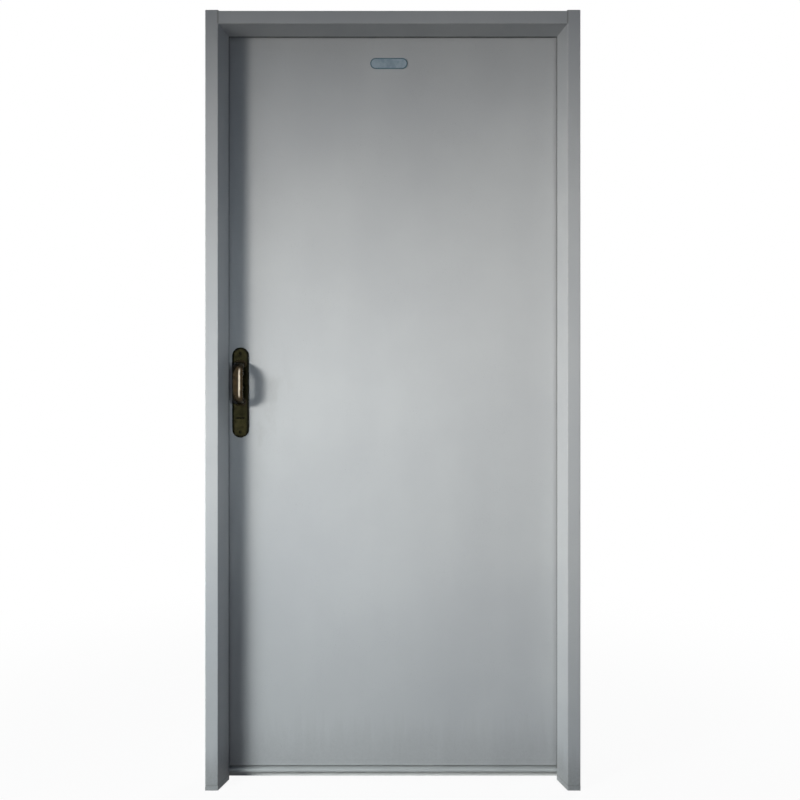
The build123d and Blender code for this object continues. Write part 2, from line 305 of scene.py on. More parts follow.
class SharedEffects:
    """Shader groups that more than one finish uses."""

    CLOUD_WEIGHT = 0.75
    SPECK_ROUGHNESS = 0.2
    SPECK_HEIGHT = 2.0
    TONGUE_LEAST = 0.35
    PAD_LINE_HEIGHT = 0.0136
    BREAK_MIDDLE = 0.62
    BREAK_DEPTH = 1.6
    STROKE_MIDDLE = 0.5
    STROKE_SHARE = 0.25
    STROKE_ROUGHNESS = 0.12
    STAIN_ROUGHNESS = 0.22

    def __init__(self) -> None:
        """Builds each group once."""
        self.paint_cloud = self._paint_cloud()
        self.floor_dirt = self._floor_dirt()
        self.arris_wear = self._arris_wear()
        self.metal_stroke = self._metal_stroke()

    @staticmethod
    def _begin(
        name: str, colours: Sequence[str], values: Sequence[str], results: Sequence[str] = ()
    ) -> tuple[NodeSheet, dict[str, Socket], Node]:
        """Starts a group that takes coordinates and gives a colour.

        Args:
            name: The group's name.
            colours: The colours that it takes.
            values: The values that it takes.
            results: The values that it gives.

        Returns:
            The sheet, the input sockets by name, and the output node.
        """
        tree = bpy.data.node_groups.new(name, "ShaderNodeTree")
        for way, kind, labels in (
            ("INPUT", "Vector", ["Place"]), ("INPUT", "Color", colours), ("INPUT", "Float", values),
            ("OUTPUT", "Color", ["Color"]), ("OUTPUT", "Float", results),
        ):
            for label in labels:
                tree.interface.new_socket(label, in_out=way, socket_type=f"NodeSocket{kind}")
        sheet = NodeSheet(tree)
        into = sheet.put("NodeGroupInput")
        out = sheet.put("NodeGroupOutput")
        sheet.place = into.outputs["Place"]
        return sheet, {s.name: s for s in into.outputs if s.name}, out

    def _paint_cloud(self) -> Tree:
        """Sprayed paint: soft clouds of shade, a fine peel and a few specks of dust.

        Returns:
            The group.
        """
        sheet, given, out = self._begin(
            "paint_cloud", ("Paint", "Shade"), ("Cloud Scale", "Cloud Share", "Speck Share"),
            ("Roughness", "Peel"),
        )
        wide = sheet.noise(Grain(detail=4.0, roughness=0.55), given["Cloud Scale"])
        passes = sheet.noise(Grain(detail=2.0, roughness=0.4, stretch=(9.0, 9.0, 1.4)))
        wide = sheet.multiply(wide, self.CLOUD_WEIGHT)
        cloud = sheet.add(wide, sheet.multiply(passes, 1.0 - self.CLOUD_WEIGHT))
        share = sheet.multiply(sheet.step(cloud, Ramp(0.3, 0.7)), given["Cloud Share"])
        tinted = sheet.blend(share, given["Paint"], given["Shade"])
        speck = sheet.step(sheet.noise(Grain(640.0, 1.0, 0.4)), Ramp(0.70, 0.76))
        patch = sheet.step(sheet.noise(Grain(9.0, 2.0)), Ramp(0.48, 0.62))
        dots = sheet.multiply(speck, patch, given["Speck Share"])
        rough = sheet.step(cloud, Ramp(0.3, 0.7, 0.40, 0.53))
        sheet.feed_all(
            out,
            Color=sheet.blend(dots, tinted, given["Shade"], "MULTIPLY"),
            Roughness=sheet.add(rough, sheet.multiply(dots, self.SPECK_ROUGHNESS)),
            Peel=sheet.add(sheet.noise(Grain(420.0, 2.0)), sheet.multiply(dots, self.SPECK_HEIGHT)),
        )
        return sheet.tree

    def _floor_dirt(self) -> Tree:
        """Dirt that climbs from the floor in tongues, and a darker line where the pads begin.

        Returns:
            The group.
        """
        sheet, given, out = self._begin(
            "floor_dirt", ("Color", "Dirt"), ("Top", "Share", "Line Share"), ("Mask",)
        )
        height = sheet.axes()[2]
        tongue = sheet.noise(Grain(detail=4.0, roughness=0.6, stretch=(60.0, 60.0, 6.0)))
        reach = sheet.multiply(given["Top"], sheet.add(tongue, self.TONGUE_LEAST))
        climb = sheet.step(sheet.math("DIVIDE", height, reach), Ramp(0.15, 1.0, 1.0, 0.0))
        dust = sheet.noise(Grain(160.0, 3.0, 0.65))
        mask = sheet.multiply(climb, sheet.step(dust, Ramp(0.25, 0.75, 0.55, 1.0)), given["Share"])
        line = sheet.step(sheet.apart(height, self.PAD_LINE_HEIGHT), Ramp(0.0014, 0.0042, 1.0, 0.0))
        line = sheet.multiply(line, given["Line Share"], sheet.step(dust, Ramp(0.2, 0.6, 0.7, 1.0)))
        both = sheet.math("MAXIMUM", mask, line)
        sheet.feed_all(out, Color=sheet.blend(both, given["Color"], given["Dirt"]), Mask=both)
        return sheet.tree

    def _arris_wear(self) -> Tree:
        """Wear that breaks along an edge.

        Returns:
            The group.
        """
        sheet, given, out = self._begin(
            "arris_wear", ("Color", "Worn"), ("Distance", "Width", "Share")
        )
        near = sheet.subtract(1.0, sheet.math("DIVIDE", given["Distance"], given["Width"]))
        broken = sheet.subtract(sheet.noise(Grain(90.0, 4.0, 0.7)), self.BREAK_MIDDLE)
        edge = sheet.add(near, sheet.multiply(broken, self.BREAK_DEPTH))
        run = sheet.step(sheet.noise(Grain(7.0, 2.0)), Ramp(0.4, 0.62, 0.35, 1.0))
        mask = sheet.multiply(sheet.step(edge, Ramp(0.15, 0.75)), run, given["Share"])
        sheet.feed_all(out, Color=sheet.blend(mask, given["Color"], given["Worn"]))
        return sheet.tree

    def _metal_stroke(self) -> Tree:
        """Fine strokes along a metal and the stains between them.

        Returns:
            The group.
        """
        sheet, given, out = self._begin(
            "metal_stroke", ("Metal", "Stain"), ("Stain Share", "Least Roughness"),
            ("Roughness", "Height"),
        )
        stroke = sheet.noise(Grain(detail=3.0, roughness=0.6, stretch=(900.0, 900.0, 34.0)))
        stain = sheet.step(sheet.noise(Grain(55.0, 4.0, 0.62)), Ramp(0.42, 0.7))
        strokes = sheet.multiply(sheet.subtract(stroke, self.STROKE_MIDDLE), self.STROKE_SHARE)
        share = sheet.add(sheet.multiply(stain, given["Stain Share"]), strokes)
        blend = sheet.step(share, Ramp(0.0, 1.0))
        rough = sheet.multiply(stroke, self.STROKE_ROUGHNESS)
        rough = sheet.add(given["Least Roughness"], rough)
        sheet.feed_all(
            out,
            Color=sheet.blend(blend, given["Metal"], given["Stain"]),
            Roughness=sheet.add(rough, sheet.multiply(share, self.STAIN_ROUGHNESS)),
            Height=stroke,
        )
        return sheet.tree


class MaterialSheet(NodeSheet):
    """The sheet of a new material, on the object's own coordinates."""

    def __init__(self, name: str) -> None:
        """Starts the material.

        Args:
            name: Its name.
        """
        self.material = bpy.data.materials.new(name)
        self.material.use_nodes = True
        super().__init__(self.material.node_tree)
        self.shader = self.tree.nodes["Principled BSDF"]
        self.place = self.put("ShaderNodeTexCoord").outputs["Object"]

    def finish(self, **fed: Fed) -> Material:
        """Feeds the shader's inputs, with underscores for spaces, and gives the material."""
        self.feed_all(self.shader, **fed)
        return self.material


@dataclass(frozen=True)
class Stadium:
    """A long outline with round ends, seen from the front.

    Attributes:
        middle: Its middle, across and up, in metres.
        half_run: Half of the straight run between its round ends.
        radius: Radius of its ends.
        upright: Whether its long side stands upright.
    """

    middle: tuple[float, float]
    half_run: float
    radius: float
    upright: bool

    @classmethod
    def of_node(cls, name: str) -> "Stadium":
        """The outline of a CAD node.

        Args:
            name: The node's name.

        Returns:
            The outline.
        """
        low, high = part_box(name)
        wide, tall = high.x - low.x, high.z - low.z
        radius = min(wide, tall) / 2
        middle = ((low.x + high.x) / 2, (low.z + high.z) / 2)
        return cls(middle, max(wide, tall) / 2 - radius, radius, tall > wide)

    def distance(self, sheet: NodeSheet) -> Socket:
        """How far a point lies from the straight run.

        Args:
            sheet: The sheet to add to.

        Returns:
            The distance's socket.
        """
        x, _, z = sheet.axes()
        across = sheet.subtract(x, self.middle[0])
        up = sheet.subtract(z, self.middle[1])
        along, aside = (up, across) if self.upright else (across, up)
        past = sheet.subtract(sheet.math("ABSOLUTE", along), self.half_run)
        return sheet.line_distance((sheet.math("MAXIMUM", past, 0.0), aside), (0.0, 0.0))


@dataclass(frozen=True)
class Paint:
    """Satin grey paint sprayed on sheet steel.

    Attributes:
        name: The material's name.
        tone: The paint as seen, 0 to 255.
        shade: Its darker clouds.
        dirt_top: How far the dirt climbs, in metres.
        dirt_share: How much it covers.
        line_share: How dark the line over the pads is.
        arrises: Lines that wear, as the axis they run along and their place on the other two.
        joint: Where the head meets the jambs, across and from which height up, or None.
        bed: The height under which the sill's bed shows bare, or None.
        touched: Where hands reach, across and up, or None.
        wave: How far the sheet is out of flat, in peels.
        peel: How much of the sprayed peel shows.
    """

    name: str
    tone: Colour = (199, 201, 202)
    shade: Colour = (186, 189, 192)
    dirt_top: float = 0.16
    dirt_share: float = 0.35
    line_share: float = 0.0
    arrises: tuple[tuple[str, float, float], ...] = ()
    joint: Optional[tuple[float, float]] = None
    bed: Optional[float] = None
    touched: Optional[tuple[float, float]] = None
    wave: float = 18.0
    peel: float = 1.0

    WORN = (214, 215, 214)
    DIRT = (96, 94, 86)
    SHEEN = 0.2
    CLOUD_SCALE = 2.6
    CLOUD_SHARE = 0.8
    SPECK_SHARE = 0.5
    WEAR_WIDTH = 0.0032
    WEAR_SHARE = 0.7
    JOINT_BELOW = 0.001
    JOINT_ABOVE = 0.003
    BED_TONE = (246, 246, 243)
    BED_EDGE = 0.0008
    HAND_FLATTEN = 0.55
    SMEAR_TONE = (140, 138, 132)
    SMEAR_SHARE = 0.10
    SMEAR_GLOSS = 0.09
    DIRT_ROUGHNESS = 0.25

    def make(self, effects: SharedEffects) -> Material:
        """Builds the material.

        Args:
            effects: The shared groups.

        Returns:
            The material.
        """
        sheet = MaterialSheet(self.name)
        cloud = sheet.group(
            effects.paint_cloud, Paint=linear(self.tone), Shade=linear(self.shade),
            Cloud_Scale=self.CLOUD_SCALE, Cloud_Share=self.CLOUD_SHARE,
            Speck_Share=self.SPECK_SHARE,
        )
        colour = self._edges(sheet, cloud["Color"], effects)
        rough = cloud["Roughness"]
        if self.touched:
            hand = self._hand(sheet)
            share = sheet.multiply(hand, self.SMEAR_SHARE)
            colour = sheet.blend(share, colour, linear(self.SMEAR_TONE))
            rough = sheet.subtract(rough, sheet.multiply(hand, self.SMEAR_GLOSS))
        dirty = sheet.group(
            effects.floor_dirt, Color=colour, Dirt=linear(self.DIRT),
            Top=self.dirt_top, Share=self.dirt_share, Line_Share=self.line_share,
        )
        wave = sheet.noise(Grain(detail=2.0, roughness=0.45, stretch=(3.2, 3.2, 1.7)))
        peel = sheet.multiply(cloud["Peel"], self.peel)
        height = sheet.add(sheet.multiply(wave, self.wave), peel)
        return sheet.finish(
            Base_Color=dirty["Color"],
            Roughness=sheet.add(rough, sheet.multiply(dirty["Mask"], self.DIRT_ROUGHNESS)),
            Specular_IOR_Level=self.SHEEN,
            Normal=sheet.bump(height, strength=0.35, distance=0.00009),
        )

    def _edges(self, sheet: NodeSheet, colour: Socket, effects: SharedEffects) -> Socket:
        """Adds worn edges, the head's joints and the sill's bare bed to the colour.

        Args:
            sheet: The sheet to add to.
            colour: The paint so far.
            effects: The shared groups.

        Returns:
            The colour's socket.
        """
        x, y, z = sheet.axes()
        across = sheet.math("ABSOLUTE", x)
        for along, *line in self.arrises:
            point = (across, y) if along == "Z" else (y, z)
            colour = sheet.group(
                effects.arris_wear, Color=colour, Worn=linear(self.WORN),
                Distance=sheet.line_distance(point, line),
                Width=self.WEAR_WIDTH, Share=self.WEAR_SHARE,
            )["Color"]
        if self.joint:
            joint_x, joint_z = self.joint
            line = sheet.step(sheet.apart(across, joint_x), Ramp(0.0008, 0.0030, 0.42, 0.0))
            start = Ramp(joint_z - self.JOINT_BELOW, joint_z + self.JOINT_ABOVE)
            line = sheet.multiply(line, sheet.step(z, start))
            colour = sheet.blend(line, colour, linear(self.DIRT))
        if self.bed:
            bare = sheet.step(z, Ramp(self.bed - self.BED_EDGE, self.bed, 1.0, 0.0))
            colour = sheet.blend(bare, colour, linear(self.BED_TONE))
        return colour

    def _hand(self, sheet: NodeSheet) -> Socket:
        """The mask of the smears that hands leave.

        Args:
            sheet: The sheet to add to.

        Returns:
            The mask's socket.
        """
        x, _, z = sheet.axes()
        middle_x, middle_z = self.touched
        height = sheet.multiply(z, self.HAND_FLATTEN)
        away = sheet.line_distance((x, height), (middle_x, self.HAND_FLATTEN * middle_z))
        near = sheet.step(away, Ramp(0.03, 0.15, 1.0, 0.0))
        smear = sheet.noise(Grain(detail=5.0, roughness=0.65, stretch=(30.0, 30.0, 14.0)))
        return sheet.multiply(near, sheet.step(smear, Ramp(0.46, 0.64)))


@dataclass(frozen=True)
class PaintedHighlightStrip:
    """A strip on the grip's crown that the palm polishes, painted pale as the grip's highlight.

    Attributes:
        middle: Its middle, across and up, in metres.
        half_width: Half of its width.
        half_length: Half of its length.
        tone: The pale painted highlight there, as seen.
    """

    middle: tuple[float, float]
    half_width: float
    half_length: float
    tone: Colour = (208, 197, 180)

    WIDTH_EDGE = (0.4, 1.5)
    LENGTH_EDGE = (0.8, 1.1)

    def mask(self, sheet: NodeSheet) -> Socket:
        """Where the strip lies.

        Args:
            sheet: The sheet to add to.

        Returns:
            The mask's socket.
        """
        x, _, z = sheet.axes()
        wide = Ramp(*(edge * self.half_width for edge in self.WIDTH_EDGE), 1.0, 0.0)
        tall = Ramp(*(edge * self.half_length for edge in self.LENGTH_EDGE), 1.0, 0.0)
        aside = sheet.step(sheet.apart(x, self.middle[0]), wide)
        return sheet.multiply(aside, sheet.step(sheet.apart(z, self.middle[1]), tall))


@dataclass(frozen=True)
class Bronze:
    """Dark antique bronze, rubbed bright where hands and cloths reach, with painted shade on a
    bevelled rim and a painted highlight on a polished strip.

    Attributes:
        name: The material's name.
        tone: The patina as seen, 0 to 255.
        stain: Its darker stains.
        rubbed: The metal where it is rubbed.
        rub: Distance out of the leaf's middle where the rubbing begins and where it is full.
        rub_share: How bright it gets.
        lacquer: How much clear lacquer lies on it.
        roughness: Its roughness between the strokes.
        bevel: An outline whose rim gets painted shade, darker on the hinge side, or None.
        painted_highlight: A palm-polished strip painted pale as a highlight, or None.
    """

    name: str
    tone: Colour = (42, 42, 24)
    stain: Colour = (26, 25, 15)
    rubbed: Colour = (84, 78, 52)
    rub: tuple[float, float] = (0.0262, 0.0278)
    rub_share: float = 0.2
    lacquer: float = 0.05
    roughness: float = 0.2
    bevel: Optional[Stadium] = None
    painted_highlight: Optional[PaintedHighlightStrip] = None

    STAIN_SHARE = 0.7
    RUB_GLOSS = 0.15
    BEVEL_WIDTH = 0.0056
    BEVEL_EDGE = (-0.0004, 0.0012)
    # Painted shade: how dark the rim gets from lock side to hinge side, how dark the sides below
    # the plate's face get, and the shade's colour.
    BEVEL_SHADE_SIDES = (0.3, 0.85)
    SUNK_SHADE_SHARE = 0.75
    BEVEL_SHADE_TONE = (14, 13, 9)
    LACQUER_ROUGHNESS = 0.12
    PIT_HEIGHT = 3.0

    def make(self, effects: SharedEffects) -> Material:
        """Builds the material.

        Args:
            effects: The shared groups.

        Returns:
            The material.
        """
        sheet = MaterialSheet(self.name)
        metal = sheet.group(
            effects.metal_stroke, Metal=linear(self.tone), Stain=linear(self.stain),
            Stain_Share=self.STAIN_SHARE, Least_Roughness=self.roughness,
        )
        out = sheet.math("ABSOLUTE", sheet.axes()[1])
        proud = sheet.step(out, Ramp(*self.rub))
        patch = sheet.noise(Grain(75.0, 4.0, 0.62))
        rub = sheet.multiply(proud, sheet.step(patch, Ramp(0.36, 0.66)), self.rub_share)
        colour = sheet.blend(rub, metal["Color"], linear(self.rubbed))
        # Painted shade: the bevelled rim and the sides below the plate's face are darkened, more on
        # the hinge side.
        if self.bevel:
            sunk_shade = sheet.step(out, Ramp(*self.rub, self.SUNK_SHADE_SHARE, 0.0))
            dark = sheet.math("MAXIMUM", self._painted_rim_shade(sheet), sunk_shade)
            colour = sheet.blend(dark, colour, linear(self.BEVEL_SHADE_TONE))
        # Painted highlight: a pale strip on the grip's crown, where the palm polishes it.
        if self.painted_highlight:
            strip = sheet.multiply(self.painted_highlight.mask(sheet), proud)
            strip = sheet.multiply(strip, sheet.step(patch, Ramp(0.2, 0.5, 0.75, 1.0)))
            colour = sheet.blend(strip, colour, linear(self.painted_highlight.tone))
        pits = sheet.add(sheet.multiply(patch, self.PIT_HEIGHT), metal["Height"])
        return sheet.finish(
            Base_Color=colour,
            Roughness=sheet.subtract(metal["Roughness"], sheet.multiply(rub, self.RUB_GLOSS)),
            Metallic=1.0,
            Coat_Weight=self.lacquer,
            Coat_Roughness=self.LACQUER_ROUGHNESS,
            Normal=sheet.bump(pits, strength=0.3, distance=0.00006),
        )

    def _painted_rim_shade(self, sheet: NodeSheet) -> Socket:
        """The painted shade on the bevelled rim, darker on its hinge side.

        Args:
            sheet: The sheet to add to.

        Returns:
            The mask's socket.
        """
        rim = self.bevel.radius - self.BEVEL_WIDTH
        edge = Ramp(*(rim + offset for offset in self.BEVEL_EDGE))
        middle, half = self.bevel.middle[0], self.bevel.radius / 2
        side = Ramp(middle - half, middle + half, *self.BEVEL_SHADE_SIDES)
        near = sheet.step(self.bevel.distance(sheet), edge)
        return sheet.multiply(near, sheet.step(sheet.axes()[0], side))


@dataclass(frozen=True)
class BareMetal:
    """Plain metal with fine strokes, such as the hinges, the lock and its bolt.

    Attributes:
        name: The material's name.
        tone: The metal as seen, 0 to 255.
        stain: Its darker stains.
        roughness: Its roughness between the strokes.
    """

    name: str
    tone: Colour = (176, 178, 178)
    stain: Colour = (120, 118, 112)
    roughness: float = 0.26

    STAIN_SHARE = 0.6

    def make(self, effects: SharedEffects) -> Material:
        """Builds the material.

        Args:
            effects: The shared groups.

        Returns:
            The material.
        """
        sheet = MaterialSheet(self.name)
        metal = sheet.group(
            effects.metal_stroke, Metal=linear(self.tone), Stain=linear(self.stain),
            Stain_Share=self.STAIN_SHARE, Least_Roughness=self.roughness,
        )
        return sheet.finish(
            Base_Color=metal["Color"], Roughness=metal["Roughness"], Metallic=1.0,
            Normal=sheet.bump(metal["Height"], strength=0.25, distance=0.00005),
        )


@dataclass(frozen=True)
class SealRubber:
    """Matt dark strip with fine ribs and a dusty bloom.

    Attributes:
        name: The material's name.
        tone: The rubber as seen, 0 to 255.
        dusty: The rubber under its bloom.
    """

    name: str = "seal_rubber"
    tone: Colour = (88, 89, 90)
    dusty: Colour = (128, 127, 124)

    RIBS = 2400.0

    def make(self) -> Material:
        """Builds the material.

        Returns:
            The material.
        """
        sheet = MaterialSheet(self.name)
        bloom = sheet.noise(Grain(45.0, 4.0, 0.65))
        share = sheet.step(bloom, Ramp(0.35, 0.75))
        rib = sheet.math("SINE", sheet.multiply(sheet.axes()[0], self.RIBS))
        return sheet.finish(
            Base_Color=sheet.blend(share, linear(self.tone), linear(self.dusty)),
            Roughness=sheet.step(bloom, Ramp(0.3, 0.7, 0.6, 0.85)),
            Normal=sheet.bump(sheet.add(rib, bloom), strength=0.3, distance=0.0001),
        )


@dataclass(frozen=True)
class CoreBoard:
    """Honeycomb board inside the leaf.

    Attributes:
        name: The material's name.
        wall: The cells' walls as seen, 0 to 255.
        cell: The cells.
    """

    name: str = "core_board"
    wall: Colour = (150, 120, 82)
    cell: Colour = (186, 156, 112)

    CELLS = 60.0

    def make(self) -> Material:
        """Builds the material.

        Returns:
            The material.
        """
        sheet = MaterialSheet(self.name)
        cells = sheet.put("ShaderNodeTexVoronoi", Vector=sheet.place, Scale=self.CELLS)
        shade = sheet.step(cells.outputs["Distance"], Ramp(0.1, 0.6))
        return sheet.finish(
            Base_Color=sheet.blend(shade, linear(self.wall), linear(self.cell)),
            Roughness=sheet.step(shade, Ramp(0.0, 1.0, 0.75, 0.9)),
            Normal=sheet.bump(shade, strength=0.4, distance=0.0005),
        )


@dataclass(frozen=True)
class PlateFinish:
    """Blank name plate: a pale blue face inside a dark blue rim.

    Attributes:
        outline: The plate's outline.
        name: The material's name.
    """

    outline: Stadium
    name: str = "name_plate_enamel"

    FACE = (158, 176, 188)
    FACE_SHADE = (132, 152, 166)
    RIM = (52, 86, 100)
    RIM_SHADE = (66, 106, 120)
    RIM_WIDTH = 0.0022
    RIM_EDGE = (-0.0012, 0.0002)
    RIM_HEIGHT = 2.0
    LACQUER = 0.3

    def make(self) -> Material:
        """Builds the material.

        Returns:
            The material.
        """
        sheet = MaterialSheet(self.name)
        inner = self.outline.radius - self.RIM_WIDTH
        edge = Ramp(*(inner + offset for offset in self.RIM_EDGE))
        rim = sheet.step(self.outline.distance(sheet), edge)
        cloud = sheet.noise(Grain(60.0, 4.0, 0.6))
        face = sheet.step(cloud, Ramp(0.35, 0.7))
        face = sheet.blend(face, linear(self.FACE), linear(self.FACE_SHADE))
        band = sheet.step(cloud, Ramp(0.3, 0.8))
        band = sheet.blend(band, linear(self.RIM), linear(self.RIM_SHADE))
        height = sheet.add(sheet.multiply(rim, self.RIM_HEIGHT), cloud)
        return sheet.finish(
            Base_Color=sheet.blend(rim, face, band),
            Roughness=sheet.step(cloud, Ramp(0.2, 0.8, 0.28, 0.42)),
            Coat_Weight=self.LACQUER,
            Normal=sheet.bump(height, strength=0.3, distance=0.0001),
        )


def add_object(name: str, data: bpy.types.ID) -> bpy.types.Object:
    """Puts an object into the scene.

    Args:
        name: Its name.
        data: Its mesh, light or camera.

    Returns:
        The object.
    """
    made = bpy.data.objects.new(name, data)
    bpy.context.scene.collection.objects.link(made)
    return made


@dataclass
class ScrewSet:
    """Screws of one kind on one body, set by geometry nodes.

    Attributes:
        name: The piece's name.
        body: The body that it rides on.
        slot: The record's material slot; not used.
        material: What the screws are made of.
        places: Each screw's middle on its surface, the way it faces, and the turn of its slot.
        head_radius: Radius of a head, in metres.
        head_height: How far a head stands proud.
        slot_width: Width of the driver slot.
        slot_depth: Depth of the driver slot.
    """

    name: str
    body: Body
    slot: str
    material: Material
    places: Sequence[tuple[Point, ScrewFacing, float]]
    head_radius: float
    head_height: float
    slot_width: float = 0.0011
    slot_depth: float = 0.0008

    DOME_SEGMENTS = 24
    DOME_RINGS = 12
    CUTTER_REACH = 3.0
    SHARP_ANGLE = math.radians(35)

    def _tree(self) -> tuple[Tree, dict[str, str]]:
        """Builds the tree that sets a slotted dome on each point.

        Returns:
            The tree, and its inputs' identifiers by name.
        """
        tree = bpy.data.node_groups.new(f"{self.name}_tree", "GeometryNodeTree")
        inputs = {"Geometry": "Geometry", "Head Radius": "Float", "Head Height": "Float",
                  "Slot Width": "Float", "Slot Depth": "Float", "Material": "Material"}
        for label, kind in inputs.items():
            tree.interface.new_socket(label, in_out="INPUT", socket_type=f"NodeSocket{kind}")
        tree.interface.new_socket("Geometry", in_out="OUTPUT", socket_type="NodeSocketGeometry")
        sheet = NodeSheet(tree)
        given = sheet.put("NodeGroupInput").outputs
        radius, height = given["Head Radius"], given["Head Height"]
        ball = sheet.put("GeometryNodeMeshUVSphere", Segments=self.DOME_SEGMENTS,
                         Rings=self.DOME_RINGS, Radius=1.0)
        size = sheet.put("ShaderNodeCombineXYZ", X=radius, Y=radius, Z=height)
        dome = sheet.put("GeometryNodeTransform", Geometry=ball.outputs["Mesh"],
                         Scale=size.outputs[0])
        bar = sheet.put("ShaderNodeCombineXYZ", X=sheet.multiply(radius, self.CUTTER_REACH),
                        Y=given["Slot Width"], Z=sheet.multiply(given["Slot Depth"], 2.0))
        cutter = sheet.put("GeometryNodeMeshCube", Size=bar.outputs[0])
        lift = sheet.put("ShaderNodeCombineXYZ", Z=height)
        raised = sheet.put("GeometryNodeTransform", Geometry=cutter.outputs["Mesh"],
                           Translation=lift.outputs[0])
        cut = sheet.put("GeometryNodeMeshBoolean")
        cut.operation = "DIFFERENCE"
        sheet.feed_all(cut, Mesh_1=dome.outputs["Geometry"], Mesh_2=raised.outputs["Geometry"])
        turn = sheet.put("GeometryNodeInputNamedAttribute", Name="turn")
        turn.data_type = "FLOAT_VECTOR"
        euler = sheet.put("FunctionNodeEulerToRotation", Euler=turn.outputs["Attribute"])
        spread = sheet.put("GeometryNodeInstanceOnPoints", Points=given["Geometry"],
                           Instance=cut.outputs["Mesh"], Rotation=euler.outputs[0])
        real = sheet.put("GeometryNodeRealizeInstances", Geometry=spread.outputs["Instances"])
        finish = sheet.put("GeometryNodeSetMaterial", Geometry=real.outputs["Geometry"],
                           Material=given["Material"])
        sheet.put("NodeGroupOutput", Geometry=finish.outputs["Geometry"])
        named = {s.name: s.identifier for s in tree.interface.items_tree if s.in_out == "INPUT"}
        return tree, named

    def build(self) -> bpy.types.Object:
        """Sets the screws and makes them one plain mesh.

        Returns:
            The finished piece.
        """
        points = bpy.data.meshes.new(f"{self.name}_points")
        points.from_pydata([place for place, _, _ in self.places], [], [])
        turns = points.attributes.new("turn", "FLOAT_VECTOR", "POINT")
        for item, (_, facing, spin) in zip(turns.data, self.places):
            about = Matrix.Rotation(spin, 3, "Z")
            ways = [Matrix.Rotation(angle, 3, axis) for angle, axis in zip(facing.value, "XYZ")]
            item.vector = (ways[2] @ ways[1] @ ways[0] @ about).to_euler()
        holder = add_object(f"{self.name}_holder", points)
        modifier = holder.modifiers.new("screws", "NODES")
        modifier.node_group, named = self._tree()
        modifier[named["Head Radius"]] = self.head_radius
        modifier[named["Head Height"]] = self.head_height
        modifier[named["Slot Width"]] = self.slot_width
        modifier[named["Slot Depth"]] = self.slot_depth
        modifier[named["Material"]] = self.material
        graph = bpy.context.evaluated_depsgraph_get()
        mesh = bpy.data.meshes.new_from_object(holder.evaluated_get(graph), depsgraph=graph)
        bpy.data.objects.remove(holder)
        if not mesh.materials:
            mesh.materials.append(self.material)
        mesh.shade_smooth()
        mesh.set_sharp_from_angle(angle=self.SHARP_ANGLE)
        piece = add_object(self.name, mesh)
        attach(piece, self.body.value)
        log.info("%s set", self.name)
        return piece


def dress(nodes: Iterable[str], material: Material) -> None:
    """Gives CAD nodes a material.

    Args:
        nodes: Their names.
        material: The finish.
    """
    for name in nodes:
        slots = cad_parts[name].data.materials
        slots.clear()
        slots.append(material)
        log.info("%s dressed in %s", name, material.name)


@dataclass
class DoorFrame:
    """Folded jambs and head, pads, sill and seals.

    Attributes:
        effects: The shared groups.
        face_x: Where the jambs' faces meet their reveals, from the middle.
        outer_x: Where the faces end outside.
        front_y: The plane of the faces.
        soffit_z: The lower edge of the head's face.
        bed_z: The height under which the sill's bed shows bare.
    """

    effects: SharedEffects
    face_x: float = 0.4705
    outer_x: float = 0.505
    front_y: float = -0.0995
    soffit_z: float = 2.0635
    bed_z: float = 0.0224

    def build(self) -> None:
        """Dresses the frame's nodes."""
        joint = (self.face_x, self.soffit_z)
        jamb = Paint(
            "jamb_paint", line_share=0.45, joint=joint,
            arrises=(("Z", self.face_x, self.front_y), ("Z", self.outer_x, self.front_y)),
        )
        head = Paint(
            "head_paint", dirt_share=0.0, joint=joint,
            arrises=(("X", self.front_y, self.soffit_z),),
        )
        sill = Paint(
            "sill_paint", tone=(214, 216, 215), shade=(204, 206, 205), dirt_share=0.0,
            bed=self.bed_z, wave=0.0, peel=0.1,
        )
        jambs = ["left_jamb", "right_jamb", "left_foot", "right_foot"]
        dress(jambs, jamb.make(self.effects))
        dress(["head"], head.make(self.effects))
        dress(["sill"], sill.make(self.effects))
        dress(["left_seal", "right_seal", "head_seal"], SealRubber().make())


@dataclass
class DoorLeaf:
    """Skins, closing channels, core, lock and the blank name plate.

    Attributes:
        effects: The shared groups.
        half_width: Half of the leaf's width.
        front_y: The plane of its front.
        hand: Where hands reach, across and up.
        forend_x: The plane of the lock's forend.
        screw_inset: How far its screws lie from its ends.
        screw_spin: The mean turn of their slots.
    """

    effects: SharedEffects
    half_width: float = 0.4665
    front_y: float = -0.0225
    hand: tuple[float, float] = (-0.375, 1.03)
    forend_x: float = -0.46525
    screw_inset: float = 0.012
    screw_spin: float = 0.4

    def build(self) -> None:
        """Dresses the leaf's nodes and sets the forend's screws."""
        edge = self.half_width
        paint = Paint(
            "leaf_paint", tone=(201, 203, 204), shade=(191, 193, 195), dirt_top=0.22,
            dirt_share=0.18, touched=self.hand,
            arrises=(("Z", edge, self.front_y), ("Z", edge, -self.front_y)),
        )
        skins = ["front_skin", "back_skin", "top_channel", "bottom_channel"]
        dress(skins, paint.make(self.effects))
        dress(["leaf_core"], CoreBoard().make())
        steel = BareMetal("lock_steel").make(self.effects)
        dress(["mortice_lock"], steel)
        brass = BareMetal("bolt_brass", tone=(190, 158, 92), stain=(132, 104, 58), roughness=0.22)
        dress(["dead_bolt"], brass.make(self.effects))
        dress(["name_plate"], PlateFinish(Stadium.of_node("name_plate")).make())
        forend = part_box("mortice_lock")
        middle = (forend[0].z + forend[1].z) / 2
        reach = (forend[1].z - forend[0].z) / 2 - self.screw_inset
        places = []
        for side in (-1, 1):
            spot = (self.forend_x, 0.0, middle + side * reach)
            places.append((spot, ScrewFacing.TO_LOCK, self.screw_spin + side))
        ScrewSet(
            "forend_screws", Body.LEAF, "steel", steel, places,
            head_radius=0.0036, head_height=0.0004, slot_depth=0.0006,
        ).build()


